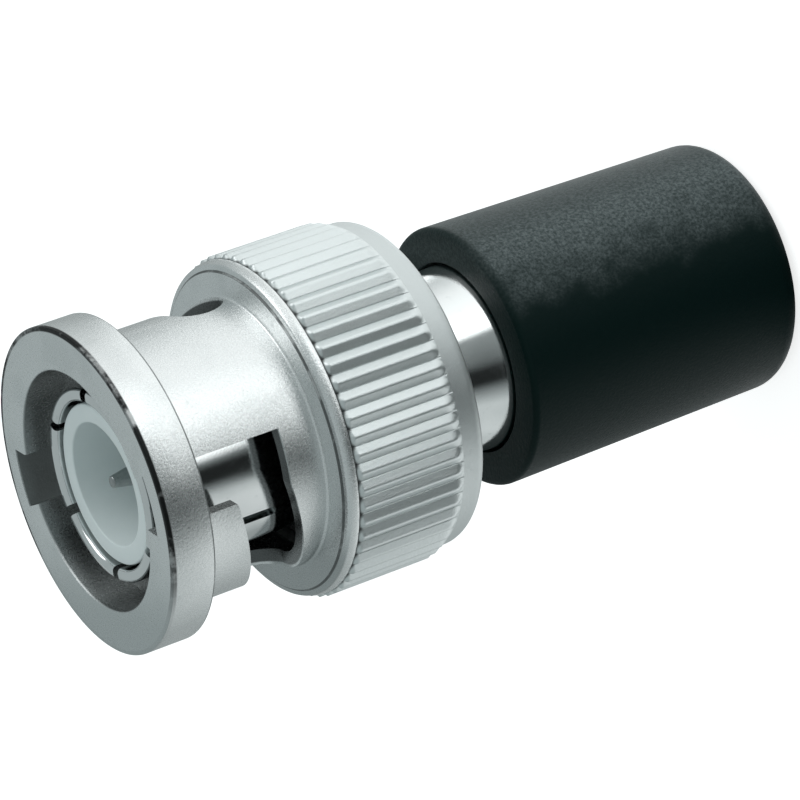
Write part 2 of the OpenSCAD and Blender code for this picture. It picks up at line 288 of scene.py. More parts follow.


# %% [markdown]
# Each such place is a mask of the radius, the depth and the side of the nut, with the tone
# that the plate has there and the dullness that it gains. Dirt lies in broken lines along
# the edges of the flange, and a broken line of painted shade lies at the step before the
# rim, so those masks are multiplied by coarse noise. The bore, the channels, the front ends
# of the grooves and the side of the face and of the shoulder away from the key light are
# only toned darker. That tone is painted shade, and it turns with the nut.

# %% Where the nut is worn and where shade is painted
def nut_wear_and_shade(place):
    """Rows of a mask, the tone of the plate there and the dullness that it adds; many are painted shade.
    """
    x = place.axis(0)
    y = place.axis(1)
    out = (x * x + y * y) ** 0.5 * (1 / MM)
    down = nut_high - place.axis(2) * (1 / MM)
    side = y * (1 / MM)
    patchy = speckle(place, 1.3, detail=5.0, roughness=0.7).between(0.34, 0.52) * 0.5 + 0.5

    # painted shade in the bore, darker still deep inside
    painted_shade_in_bore = out.below(barrel_radius - 0.105) * down.above(0.065)
    deep = down.above(2.4, 0.4)
    # painted shade in the entry channels of the slots
    channel = out.below(channel_radius + 0.065) * down.above(0.05, 0.06)
    channel = channel * down.below(flange_depth - 0.10, 0.10)
    behind_grip = down.above(grip_end, 0.04)
    on_grip = down.above(grip_start, 0.04) * (1.0 - behind_grip)
    # painted shade on the side of the face and of the shoulder away from the key light
    painted_shade_low_front = down.below(0.045, 0.03) * side.below(-3.75, 3.5)
    painted_shade_low_shoulder = down.above(7.4, 0.2) * down.below(7.85, 0.1) * side.below(-4.2, 2.0)

    front_edge = out.above(flange_radius - 0.185) * down.below(0.18, 0.08)
    front_edge = front_edge * (side.above(-3.5, 3.0) * 0.9 + 0.1)
    rear_edge = out.above(flange_radius - 0.15, 0.10)
    rear_edge = rear_edge * down.above(flange_depth - 0.075, 0.03) * down.below(2.75, 0.5)
    # a broken line of painted shade at the step before the rim
    painted_shade_rim_line = out.above(rim_line - 0.035, 0.03) * out.below(rim_line + 0.045, 0.03)
    painted_shade_rim_line = painted_shade_rim_line * down.above(5.5, 1.0) * down.below(grip_start - 0.10, 0.10)
    # painted shade at the front ends of the grooves between the ribs
    painted_shade_rib_foot = down.above(grip_start - 0.01, 0.02) * down.below(grip_start + 0.17, 0.14)
    painted_shade_rib_foot = painted_shade_rib_foot * out.below(nut_radius - 0.15, 0.10)
    # the first five rows and the last two are painted shade; the others are plate tone, wear and dirt
    return [
        (painted_shade_low_front, 0.72, 0.0),
        (painted_shade_low_shoulder, 0.55, 0.0),
        (painted_shade_in_bore * (1.0 - deep), 0.50, -0.09),
        (painted_shade_in_bore * deep, 0.16, 0.0),
        (channel, 0.42, 0.10),
        (on_grip, 0.92, 0.10),
        (behind_grip, 0.80, 0.17),
        (front_edge * patchy, 0.03, 0.2),
        (rear_edge * patchy, 0.30, 0.2),
        (painted_shade_rim_line * patchy, 0.20, 0.2),
        (painted_shade_rib_foot, 0.10, 0.2),
    ]


cast = {"grain_size": 0.115, "grain_depth": 0.014}
turned = {"grain_size": 0.070, "grain_depth": 0.0020}
sprung = {"grain_size": 0.070, "grain_depth": 0.0016}
# the nut's plate carries wear, dirt and painted shade
nut_finish = satin_nickel("satin_nickel", tone=0.78, dullness=0.27, wear_and_shade=nut_wear_and_shade, **cast)
body_finish = satin_nickel("polished_nickel", tone=0.86, dullness=0.07, **turned)
sleeve_finish = satin_nickel("sprung_nickel", tone=0.76, dullness=0.09, **sprung)
print("nickel finishes made")

# %% [markdown]
# The end cap is moulded in black plastic by a mould with a fine spark-eroded texture. The
# texture makes it matt. A light bloom lies on the side that faces the key light and thins
# out towards its ends: it is partly dust and partly painted sheen.

# %% Moulded black plastic
clean_resin = (0.001, 0.011, 0.010, 1.0)
# the light colour of the bloom, partly dust and partly painted sheen
dusty_sheen_resin = (0.220, 0.255, 0.258, 1.0)
resin_sheen = 0.10


def moulded_black():
    """Matt black resin with a light bloom on its lit side, partly dust and partly painted sheen."""
    material, place = start("black_moulding")
    texture = speckle(place, 0.13, detail=4.0, roughness=0.7)
    mottle = speckle(place, 1.2, detail=3.0)
    side = place.axis(1) * (1 / MM)
    height = place.axis(2) * (1 / MM)
    # a lighter bloom on the side of the key light: partly dust, partly painted sheen
    dust_and_sheen = (side + (mottle - 0.5) * 2.5).above(3.1, 3.0)
    dust_and_sheen = dust_and_sheen * (1.0 - height.above(cap_high - 0.3, 0.4) * 0.75)
    dust_and_sheen = dust_and_sheen * (1.0 - side.above(4.9, 1.0) * 0.5)
    speckled_dust_and_sheen = dust_and_sheen * (texture.between(0.30, 0.78) * 0.8 + 0.2)
    return paint(
        material,
        Base_Color=speckled_dust_and_sheen.blend(clean_resin, dusty_sheen_resin),
        Specular_IOR_Level=resin_sheen,
        Roughness=0.46 + (texture - 0.5) * 0.25,
        Normal=relief(texture, 0.022),
    )


cap_finish = moulded_black()
print("black plastic made")

# %% [markdown]
# The dielectric is a turned white plastic. It is slightly cloudy and has a soft, fine
# grain, and that is all that it shows.

# %% White dielectric
cloudy_white = (0.76, 0.83, 0.83, 1.0)
clear_white = (0.82, 0.88, 0.88, 1.0)


def turned_white():
    """White plastic, slightly cloudy."""
    material, place = start("white_dielectric")
    cloud = speckle(place, 0.8, detail=3.0)
    fine = speckle(place, 0.08)
    return paint(
        material,
        Base_Color=cloud.blend(cloudy_white, clear_white),
        Roughness=0.42 + (fine - 0.5) * 0.15,
        Normal=relief(fine, 0.003),
    )


dielectric_finish = turned_white()
print("white dielectric made")

# %% [markdown]
# The small pieces inside each get the finish of their trade: silver-plated pin, rubber
# gasket, spring steel washers, lacquered resistor, tinned wire, bare brass and solder. They
# differ in colour and gloss, so one recipe with a few settings makes them all.

# %% Finishes of the inner pieces
def plain(name, colour, dullness, metallic=1.0, grain=0.15, darkening=0.82, depth=0.004):
    """One colour with fine darker specks."""
    material, place = start(name)
    speck = speckle(place, grain, detail=3.0)
    darker = tuple(channel * darkening for channel in colour)
    return paint(
        material,
        Base_Color=speck.between(0.3, 0.8).blend((*colour, 1.0), (*darker, 1.0)),
        Metallic=metallic,
        Roughness=dullness + (speck - 0.5) * 0.15,
        Normal=relief(speck, depth),
    )


coat = {"metallic": 0.0, "grain": 0.25, "darkening": 0.75, "depth": 0.006}
pin_finish = plain("silvered_pin", (0.34, 0.36, 0.36), 0.16)
steel_finish = plain("spring_steel", (0.52, 0.53, 0.54), 0.32)
wire_finish = plain("tinned_wire", (0.70, 0.71, 0.71), 0.30)
brass_finish = plain("bare_brass", (0.78, 0.60, 0.30), 0.35)
solder_finish = plain("solder", (0.66, 0.67, 0.68), 0.28)
rubber_finish = plain("gasket_rubber", (0.030, 0.030, 0.030), 0.60, **coat)
lacquer_finish = plain("resistor_lacquer", (0.10, 0.22, 0.34), 0.35, **coat)
print("finishes of the inner pieces made")

# %% [markdown]
# The visible pieces are turnings, so they are made as a turner thinks of them: an outline
# that goes once round the axis. The helper spins a closed outline of (radius, depth)
# points, with depth measured down from the mating face, and keeps 256 steps so that
# polished metal mirrors its surroundings without a ripple.

# %% Spin an outline
turning_steps = 256
face = nut_high
on_axis = 1e-6
least_bend = 20.0
most_of_side = 0.4


def arc(radius, depth, size, start_angle, end_angle, steps=6):
    """Points of a round corner about a centre, with angles from outwards towards the face."""
    points = []
    for step in range(steps + 1):
        angle = math.radians(start_angle + (end_angle - start_angle) * step / steps)
        points.append((radius + size * math.cos(angle), depth - size * math.sin(angle)))
    return points


def eased(outline, size, steps=3):
    """The same closed outline with every sharp corner rounded; size is in millimetres."""
    rounded = []
    for index, corner in enumerate(outline):
        before = Vector(outline[index - 1])
        after = Vector(outline[(index + 1) % len(outline)])
        here = Vector(corner)
        back = before - here
        ahead = after - here
        bend = math.degrees(back.angle(-ahead))
        if corner[0] < on_axis or bend < least_bend:
            rounded.append(tuple(here))
            continue
        reach = min(size, most_of_side * back.length, most_of_side * ahead.length)
        first = here + back.normalized() * reach
        last = here + ahead.normalized() * reach
        for step in range(steps + 1):
            part = step / steps
            point = first * (1 - part) ** 2 + here * 2 * part * (1 - part) + last * part ** 2
            rounded.append(tuple(point))
    return rounded


def spin(name, outline, steps=turning_steps):
    """A solid of revolution from a closed outline; points on the axis close the poles."""
    work = bmesh.new()
    rings = []
    for radius, depth in outline:
        z = (face - depth) * MM
        if radius < on_axis:
            rings.append([work.verts.new((0.0, 0.0, z))])
            continue
        ring = []
        for step in range(steps):
            angle = 2.0 * math.pi * step / steps
            x = radius * math.cos(angle) * MM
            y = radius * math.sin(angle) * MM
            ring.append(work.verts.new((x, y, z)))
        rings.append(ring)
    for ring, following in zip(rings, rings[1:] + rings[:1]):
        for step in range(steps):
            after = (step + 1) % steps
            if len(ring) == 1 and len(following) == 1:
                break
            if len(ring) == 1:
                work.faces.new((ring[0], following[after], following[step]))
            elif len(following) == 1:
                work.faces.new((ring[step], ring[after], following[0]))
            else:
                work.faces.new((ring[step], ring[after], following[after], following[step]))
    return close_mesh(name, work)


def close_mesh(name, work):
    """Makes a bmesh an object at the origin, with its faces pointing outwards."""
    bmesh.ops.recalc_face_normals(work, faces=work.faces)
    mesh = bpy.data.meshes.new(name)
    work.to_mesh(mesh)
    work.free()
    made = bpy.data.objects.new(name, mesh)
    bpy.context.scene.collection.objects.link(made)
    return made


# %% [markdown]
# Slots are cut into a turning as a milling cutter would: each is a band of wall between an
# inner and an outer radius. A band is given by stations along its length, and each station
# has an angle, an upper and a lower depth. A round end comes from closely set stations.

# %% Cut slots into a turning
def band_cutter(work, stations, inner, outer):
    """Adds a closed band between two radii through stations of (angle, upper, lower)."""
    rows = []
    for angle, upper, lower in stations:
        turn = math.radians(angle)
        row = []
        for radius, depth in ((inner, upper), (outer, upper), (outer, lower), (inner, lower)):
            row.append(work.verts.new((
                radius * math.cos(turn) * MM,
                radius * math.sin(turn) * MM,
                (face - depth) * MM,
            )))
        rows.append(row)
    for row, following in zip(rows, rows[1:]):
        for corner in range(4):
            after = (corner + 1) % 4
            work.faces.new((row[corner], row[after], following[after], following[corner]))
    work.faces.new(rows[0])
    work.faces.new(rows[-1][::-1])


def plain_mesh(piece):
    """Applies the modifiers of a piece and drops them."""
    graph = bpy.context.evaluated_depsgraph_get()
    finished = bpy.data.meshes.new_from_object(piece.evaluated_get(graph))
    piece.modifiers.clear()
    old = piece.data
    piece.data = finished
    bpy.data.meshes.remove(old)
    return piece


def carve(piece, cutter):
    """Takes the cutter's volume away from the piece and removes the cutter."""
    cut = piece.modifiers.new("milling", "BOOLEAN")
    cut.operation = "DIFFERENCE"
    cut.solver = "EXACT"
    cut.use_self = True
    cut.object = cutter
    plain_mesh(piece)
    bpy.data.objects.remove(cutter)
    return piece


weld_reach = 0.0003
sharp_angle = 30.0


def shade(piece):
    """Smooth shading that keeps flat faces flat, with hard edges above sharp_angle."""
    work = bmesh.new()
    work.from_mesh(piece.data)
    bmesh.ops.remove_doubles(work, verts=work.verts, dist=weld_reach * MM)
    for each in work.faces:
        each.smooth = True
    work.to_mesh(piece.data)
    work.free()
    piece.data.set_sharp_from_angle(angle=math.radians(sharp_angle))
    weighted = piece.modifiers.new("even_shading", "WEIGHTED_NORMAL")
    weighted.keep_sharp = True
    return plain_mesh(piece)


def dress(piece, body, finish, slot, *nodes):
    """Gives a finished piece its finish and body, and lets it stand for its nodes."""
    piece.data.materials.clear()
    piece.data.materials.append(finish)
    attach(piece, body)
    if nodes:
        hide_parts(*nodes)
    print(piece.name, "has", len(piece.data.polygons), "faces")
    return piece


# %% [markdown]
# The coupling nut: a flange to grip at the mating face, a thin barrel that carries the two
# bayonet slots, a shoulder with a smooth rim, and the knurled grip with a plain band.
# Its bore has an inner lip that the hidden spring pack pulls on.

# %% Turn the coupling nut
neck_radius = sleeve_radius - 0.08
lip_start = 11.83
lip_end = 12.93
lip_radius = neck_radius + 0.06
mouth_chamfer = 0.08
hollow = 0.12
rim_foot = rim_radius - 0.36
rim_top = rim_radius - 0.34
rim_bevel = rim_radius - 0.10
step_rise = 0.07
bevel_rise = 0.10
rim_side = 0.15
rear_round = 0.45
plated_edge = 0.07

nut_outline = (
    [(bore_radius + mouth_chamfer, 0.0), (flange_radius, 0.0), (flange_radius, flange_depth)]
    + [(barrel_radius, flange_depth)]
    + arc(barrel_radius + hollow, shoulder_depth - hollow, hollow, 180.0, 270.0, steps=8)
    + [(rim_foot, shoulder_depth), (rim_top, shoulder_depth + step_rise)]
    + [(rim_bevel, shoulder_depth + bevel_rise), (rim_radius, grip_start - rim_side)]
    + [(rim_radius, grip_start)]
    + [(root_radius, grip_start), (root_radius, grip_end), (band_radius, grip_end)]
    + arc(band_radius - rear_round, nut_length - rear_round, rear_round, 0.0, -90.0, steps=8)
    + [(bore_radius, nut_length), (bore_radius, lip_end), (lip_radius, lip_end)]
    + [(lip_radius, lip_start), (bore_radius, lip_start), (bore_radius, mouth_chamfer)]
)
nut = spin("coupling_nut_turned", eased(nut_outline, plated_edge))
print("nut outline has", len(nut_outline), "points")

# %% [markdown]
# Each bayonet slot starts as a channel in from the face, turns into a ramp that draws the
# plug home, and ends in a round seat for the socket's stud. Two slots lie opposite.

# %% Mill the bayonet slots
slot_width = 2.4
ramp_start = 4.9
ramp_drop = 1.5
lock_turn = 90.0
level_turn = 12.0
over_cut = 0.5
over_rim = 0.4
least_rise = 0.01
ramp_steps = 60
seat_steps = 12
channel_steps = 16


def slot_middle(turned):
    """Depth of the middle of the ramp after the nut has turned so many degrees."""
    return ramp_start + ramp_drop * max(0.0, (turned - level_turn) / (lock_turn - level_turn))


def add_slot(work, side):
    """Adds the cutters of one slot; side is the angle of its entry channel."""
    half = slot_width / 2
    inner = bore_radius - 2 * over_cut
    outer = nut_radius + over_rim
    stations = []
    for step in range(ramp_steps + 1):
        turned = lock_turn * step / ramp_steps
        middle = slot_middle(turned)
        stations.append((side - turned, middle - half, middle + half))
    middle = slot_middle(lock_turn)
    for step in range(1, seat_steps + 1):
        quarter = math.radians(90.0 * step / seat_steps)
        over = half * math.sin(quarter)
        rise = max(half * math.cos(quarter), least_rise)
        angle = math.degrees(math.asin(over / barrel_radius))
        stations.append((side - lock_turn - angle, middle - rise, middle + rise))
    band_cutter(work, stations, inner, outer)
    edge_angle = math.degrees(math.asin(half / channel_radius))
    channel = []
    for step in range(channel_steps + 1):
        angle = side - edge_angle + 2 * edge_angle * step / channel_steps
        channel.append((angle, -over_cut, ramp_start + half))
    band_cutter(work, channel, inner, channel_radius)


slots = bmesh.new()
add_slot(slots, 0.0)
add_slot(slots, 180.0)
carve(nut, close_mesh("slot_cutters", slots))
shade(nut)
dress(nut, "nut", nut_finish, "nickel_nut", "coupling_nut")

# %% [markdown]
# Sixty straight ribs make the grip. On the real nut they are pressed by a knurling wheel,
# which leaves them roof-shaped: two sloping flanks, a narrow crest and rounded ends. One
# rib is a small box of many vertices whose top is drawn down by a formula, and Geometry
# Nodes sets it round the nut. The tree takes its measures as inputs, in metres.

# %% A geometry tree for the ribs
rib_measures = (
    "Root Radius", "Rib Height", "Rib Width", "Crest", "Start", "Length", "Front End", "Rear End", "Turn",
)
rib_sink = 0.1
rib_columns = 17
rib_rows = 31


def past_end(room, reach):
    """1 where there is no room left to an end of the rib, falling to 0 at reach from it."""
    levels = {"Value": room, "From Min": 0.0, "From Max": reach, "To Min": 1.0, "To Max": 0.0}
    return room.node("ShaderNodeMapRange", {}, levels)


def rib_tree():
    """The tree that makes one rib and repeats it round the axis."""
    tree = bpy.data.node_groups.new("grip_ribs", "GeometryNodeTree")
    tree.interface.new_socket("Geometry", in_out="OUTPUT", socket_type="NodeSocketGeometry")
    for name in rib_measures:
        tree.interface.new_socket(name, in_out="INPUT", socket_type="NodeSocketFloat")
    tree.interface.new_socket("Count", in_out="INPUT", socket_type="NodeSocketInt")
    tree.interface.new_socket("Finish", in_out="INPUT", socket_type="NodeSocketMaterial")
    given = tree.nodes.new("NodeGroupInput")
    inlet = {socket.name: Wire(tree, socket) for socket in given.outputs if socket.name}

    # one rib along Z: X is outwards, Y is across
    sink = rib_sink * MM
    depth = inlet["Rib Height"] + sink
    half_length = inlet["Length"] * 0.5
    sides = {0: depth, 1: inlet["Rib Width"], 2: inlet["Length"]}
    size = depth.node("ShaderNodeCombineXYZ", {}, sides)
    grid = {"Size": size, "Vertices X": 2, "Vertices Y": rib_columns, "Vertices Z": rib_rows}
    cube = size.node("GeometryNodeMeshCube", {}, grid)
    place = Wire(tree, tree.nodes.new("GeometryNodeInputPosition").outputs[0])
    out = place.axis(0)
    across = place.axis(1)
    along = place.axis(2)
    # vertices gather near the ends, where the form bends
    share = along.maths("DIVIDE", along * 2.0, inlet["Length"])
    drawn = (share * 1.5 - share * share * share * 0.5) * half_length
    # how far a vertex lies from the crest: 0 on it, 1 at the foot of a flank or an end
    aside = across.maths("DIVIDE", across * 2.0, inlet["Rib Width"])
    beyond = past_end(half_length - drawn, inlet["Front End"])
    beyond = beyond + past_end(half_length + drawn, inlet["Rear End"])
    away = (aside * aside + beyond * beyond) ** 0.5
    levels = {"Value": away, "From Min": inlet["Crest"], "From Max": 1.0, "To Min": 1.0, "To Max": 0.0}
    rise = away.node("ShaderNodeMapRange", {}, levels)
    drop = (rise - 1.0) * inlet["Rib Height"]
    on_top = out.maths("GREATER_THAN", out, 0.0)
    shift = drop.node("ShaderNodeCombineXYZ", {}, {0: drop * on_top, 2: drawn - along})
    shaped = shift.node("GeometryNodeSetPosition", {}, {"Geometry": cube, "Offset": shift})
    middle_out = inlet["Root Radius"] + (depth * 0.5 - sink)
    middle_along = inlet["Start"] + half_length
    place_at = middle_out.node("ShaderNodeCombineXYZ", {}, {0: middle_out, 2: middle_along})
    rib = place_at.node("GeometryNodeTransform", {}, {"Geometry": shaped, "Translation": place_at})

    # repeat it: one point for each rib, all on the axis, each turned by its number
    points = rib.node("GeometryNodePoints", {}, {"Count": inlet["Count"]})
    number = Wire(tree, tree.nodes.new("GeometryNodeInputIndex").outputs[0])
    pitch = number.maths("DIVIDE", 2.0 * math.pi, inlet["Count"])
    turn = number.node("ShaderNodeCombineXYZ", {}, {2: number * pitch + inlet["Turn"]})
    copies = {"Points": points, "Instance": rib, "Rotation": turn}
    ribs = turn.node("GeometryNodeInstanceOnPoints", {}, copies)
    real = ribs.node("GeometryNodeRealizeInstances", {}, {"Geometry": ribs})
    smooth = real.node("GeometryNodeSetShadeSmooth", {}, {"Geometry": real})
    finish = {"Geometry": smooth, "Material": inlet["Finish"]}
    painted = smooth.node("GeometryNodeSetMaterial", {}, finish)
    result = tree.nodes.new("NodeGroupOutput")
    tree.links.new(painted.socket, result.inputs["Geometry"])
    return tree


# %% [markdown]
# Each rib is nearly as wide as its share of the circle. It ends steeper at the front than
# at the rear, and the whole ring is turned a little against the slots.

# %% Set the ribs round the nut
rib_count = 60
rib_pitch = 2.0 * math.pi * nut_radius / rib_count
rib_width = 0.98 * rib_pitch
crest_share = 0.125
front_end = 0.14
rear_end = 0.40
rib_turn = 1.45


def from_tree(name, tree, values):
    """A plain mesh object from a geometry tree, with its inputs given by name."""
    made = bpy.data.objects.new(name, bpy.data.meshes.new(name))
    bpy.context.scene.collection.objects.link(made)
    nodes = made.modifiers.new("shape", "NODES")
    nodes.node_group = tree
    for item in tree.interface.items_tree:
        if item.in_out == "INPUT" and item.name in values:
            nodes[item.identifier] = values[item.name]
    return plain_mesh(made)


ribs = from_tree("grip_ribs", rib_tree(), {
    "Root Radius": root_radius * MM,
    "Rib Height": (nut_radius - root_radius) * MM,
    "Rib Width": rib_width * MM,
    "Crest": crest_share,
    "Start": (face - grip_end) * MM,
    "Length": (grip_end - grip_start) * MM,
    "Front End": front_end * MM,
    "Rear End": rear_end * MM,
    "Turn": math.radians(rib_turn),
    "Count": rib_count,
    "Finish": nut_finish,
})
dress(ribs, "nut", nut_finish, "nickel_nut")

# %% [markdown]
# The body that shows between nut and cap is a polished neck. It goes on inside as the
# flange that the springs bear on, and as the stub that the cap is pressed onto.

# %% Turn the body
body_low, body_high, body_radius = ends("plug_body")
body_flange = 0.8
stub_radius = neck_radius - 0.6
mouth_depth = 1.0
cap_start = face - cap_high
stub_start = cap_start + mouth_depth
waist = 0.53
waist_start = nut_length + 0.45
waist_end = cap_start - 0.02
shoulder_end = nut_length + 0.15
polished_edge = 0.06
neck_steps = 12

neck_curve = []
for step in range(neck_steps + 1):
    part = step / neck_steps
    rise = waist * (0.81 * part + 0.19 * part ** 2)
    neck_curve.append((neck_radius - waist + rise, waist_start + part * (waist_end - waist_start)))
body_outline = [
    (0.0, face - body_high),
    (body_radius, face - body_high),
    (body_radius, face - body_high + body_flange),
    (neck_radius, face - body_high + body_flange),
    (neck_radius, shoulder_end),
    *neck_curve,
    (neck_radius, stub_start),
    (stub_radius, stub_start),
    (stub_radius, face - body_low),
    (0.0, face - body_low),
]
body = shade(spin("plug_body_turned", eased(body_outline, polished_edge)))
dress(body, "body", body_finish, "nickel_body", "plug_body")

# %% [markdown]
# The sleeve that makes the outer contact is slotted into six springy fingers. It stands
# inside the nut and shows through the bayonet slots. Behind the fingers it goes on as a
# thin tail, hidden in the body.

# %% Turn and slot the spring sleeve
finger_count = 6
finger_wall = 0.53
finger_gap = 0.45
finger_root = 6.3
finger_turn = 22.0
finger_round = 0.22
tail_wall = 0.15
tail_length = 2.0
gap_steps = 8
sleeve_bore = sleeve_radius - finger_wall
tail_radius = sleeve_bore + tail_wall
finger_front = face - sleeve_high
tail_start = face - sleeve_low - tail_length

sleeve_outline = [
    (sleeve_bore, finger_front),
    (sleeve_radius, finger_front),
    (sleeve_radius, tail_start),
    (tail_radius, tail_start),
    (tail_radius, face - sleeve_low),
    (sleeve_bore, face - sleeve_low),
]
sleeve = spin("outer_contact_turned", eased(sleeve_outline, finger_round, steps=6))
cuts = bmesh.new()
half_gap = finger_gap / 2
for finger in range(finger_count):
    side = finger_turn + 360.0 * finger / finger_count
    stations = []
    for step in range(-gap_steps, gap_steps + 1):
        quarter = math.radians(90.0 * step / gap_steps)
        angle = math.degrees(half_gap * math.sin(quarter) / sleeve_radius)
        end = finger_root - half_gap + half_gap * math.cos(quarter)
        stations.append((side + angle, finger_front - over_cut, end))
    band_cutter(cuts, stations, sleeve_bore - over_cut, sleeve_radius + over_cut)
carve(sleeve, close_mesh("finger_cutters", cuts))
shade(sleeve)
dress(sleeve, "body", sleeve_finish, "nickel_contact", "outer_contact")

# %% [markdown]
# The white insulator is a cup: its rim stands inside the fingers, and the pin rises from
# the middle of its floor.

# %% Turn the insulator and the pin
insulator_low, insulator_high, insulator_radius = ends("dielectric")
cup_wall = 0.78
recess_radius = insulator_radius - cup_wall
recess_floor = 6.9
cup_edge = 0.10
front = face - insulator_high
insulator_outline = [
    (0.0, recess_floor),
    (recess_radius, recess_floor),
    (recess_radius, front),
    (insulator_radius, front),
    (insulator_radius, face - insulator_low),
    (0.0, face - insulator_low),
]
insulator = shade(spin("dielectric_turned", eased(insulator_outline, cup_edge)))
dress(insulator, "body", dielectric_finish, "white_insulator", "dielectric")

pin_high = ends("centre_contact")[1]
pin_radius = 0.675
tip_radius = 0.24
taper_length = 2.4
pin_sunk = 0.3
pin_edge = 0.05
pin_steps = 96
tip = face - pin_high
pin_outline = [
    (0.0, tip),
    (tip_radius, tip),
    (pin_radius, tip + taper_length),
    (pin_radius, recess_floor + pin_sunk),
    (0.0, recess_floor + pin_sunk),
]
pin = shade(spin("centre_contact_turned", eased(pin_outline, pin_edge), pin_steps))
dress(pin, "body", pin_finish, "silvered_pin", "centre_contact")

# %% [markdown]
# The cap is moulded: a thick-walled cup that tapers slightly for the mould, with round
# edges, pushed over the stub.

# %% Mould the cap
cap_draft = 0.17
cap_end_radius = cap_radius - cap_draft
cap_end = face - cap_low
cap_floor = cap_end - 0.9
mouth_radius = neck_radius + 0.10
mouth_round = 0.25
end_round = 0.9
moulded_edge = 0.08
cap_outline = (
    arc(cap_radius - mouth_round, cap_start + mouth_round, mouth_round, 90.0, 0.0, steps=5)
    + arc(cap_end_radius - end_round, cap_end - end_round, end_round, 0.0, -90.0, steps=10)
    + [(0.0, cap_end), (0.0, cap_floor)]
    + [(stub_radius, cap_floor), (stub_radius, stub_start)]
    + [(mouth_radius, stub_start), (mouth_radius, cap_start)]
)
cap = shade(spin("end_cap_moulded", eased(cap_outline, moulded_edge)))
dress(cap, "body", cap_finish, "black_plastic", "end_cap")

# %% [markdown]
# The pieces that stay hidden inside keep their nodes and only take a finish.

# %% Give the other nodes their finishes
finish_of = {
    "rear_insulator": dielectric_finish,
    "gasket": rubber_finish,
    "wave_washer_front": steel_finish,
    "wave_washer_rear": steel_finish,
    "thrust_washer": brass_finish,
    "back_washer": brass_finish,
    "retaining_ring": steel_finish,
    "resistor": lacquer_finish,
    "front_lead": wire_finish,
    "rear_lead": wire_finish,
    "earth_disc": brass_finish,
    "solder_bead": solder_finish,
}
for node, chosen in finish_of.items():
    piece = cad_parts[node]
    piece.data.materials.clear()
    piece.data.materials.append(chosen)
print("finished", len(finish_of), "hidden pieces")

# %% [markdown]
# The plug stands on a plain pale floor of white paper. For the camera the paper glows a
# little, so that it reads as white and still shows a soft shadow. A photographer lights
# such small bright turnings with graded cards that only the metal sees: bright on the key
# side, half as bright on the fill side, and a dark gap between them that draws the form.
# Here the paper itself shows that grading to reflected rays. Each part of the plug mirrors
# the paper at its own distance, so the cards are rings: the band of the nut sees the inner
# one, then come the grip, the barrel, the flange with the sleeve, and far out the neck.
# A card is a list of turns round the plug, in degrees, each with its level of light. The
# levels are tuned for this camera, and other views see other parts of the same grading.

# %% Grade the cards
card_far = (
    (-180.0, 0.32),
    (-115.0, 0.40),
    (-82.0, 0.58),
    (-52.0, 0.62),
    (-35.0, 0.26),
    (-24.0, 0.02),
    (-9.0, 0.02),
    (2.0, 0.16),
    (31.0, 0.32),
    (40.0, 2.40),
    (52.0, 2.30),
    (64.0, 1.25),
    (95.0, 1.06),
    (125.0, 0.72),
    (155.0, 0.46),
    (180.0, 0.32),
)
card_flange = (
    (-180.0, 0.35),
    (-115.0, 0.45),
    (-88.0, 0.66),
    (-50.0, 0.72),
    (-38.0, 0.62),
    (-28.0, 0.24),
    (-22.0, 0.02),
    (-7.0, 0.02),
    (0.0, 0.25),
    (6.0, 1.50),
    (14.0, 2.10),
    (28.0, 1.60),
    (44.0, 1.15),
    (66.0, 1.05),
    (95.0, 0.98),
    (115.0, 0.76),
    (150.0, 0.48),
    (180.0, 0.35),
)
card_barrel = (
    (-180.0, 0.32),
    (-115.0, 0.38),
    (-88.0, 0.74),
    (-50.0, 0.82),
    (-38.0, 0.58),
    (-29.0, 0.04),
    (-9.0, 0.01),
    (0.0, 0.13),
    (6.0, 0.50),
    (12.0, 1.60),
    (26.0, 1.70),
    (42.0, 1.35),
    (66.0, 1.00),
    (105.0, 1.00),
    (122.0, 0.66),
    (155.0, 0.46),
    (180.0, 0.32),
)
card_grip = (
    (-180.0, 0.55),
    (-115.0, 0.55),
    (-80.0, 0.78),
    (-50.0, 0.78),
    (-30.0, 0.28),
    (-10.0, 0.20),
    (4.0, 0.30),
    (12.0, 1.10),
    (24.0, 1.50),
    (60.0, 1.55),
    (120.0, 1.50),
    (150.0, 1.30),
    (180.0, 0.55),
)
card_band = (
    (-180.0, 0.50),
    (-115.0, 0.60),
    (-80.0, 0.98),
    (-50.0, 1.02),
    (-30.0, 0.38),
    (-12.0, 0.04),
    (6.0, 0.08),
    (20.0, 0.42),
    (40.0, 0.92),
    (52.0, 1.12),
    (75.0, 1.12),
    (120.0, 1.30),
    (150.0, 1.10),
    (180.0, 0.50),
)
card_rings = (
    (card_grip, 40.5, 41.5),
    (card_barrel, 49.5, 51.5),
    (card_flange, 58.0, 61.0),
    (card_far, 68.0, 86.0),
)
card_top = 2.40
print("cards:", 1 + len(card_rings), "rings, up to level", card_top)

# %% [markdown]
# The paper is one material. For the camera it is matt and glows a little. For a reflected
# ray it is the cards: the material takes the turn and the distance of the place that the
# ray meets, looks up each ring's level there and lets each ring pass softly into the next.

# %% A paper that holds the cards
card_dim = (0.88, 1.0, 1.0, 1.0)
card_bright = (0.96, 1.0, 1.0, 1.0)
paper_colour = (0.80, 0.80, 0.80, 1.0)
paper_glow = 0.75
white = (1.0, 1.0, 1.0, 1.0)


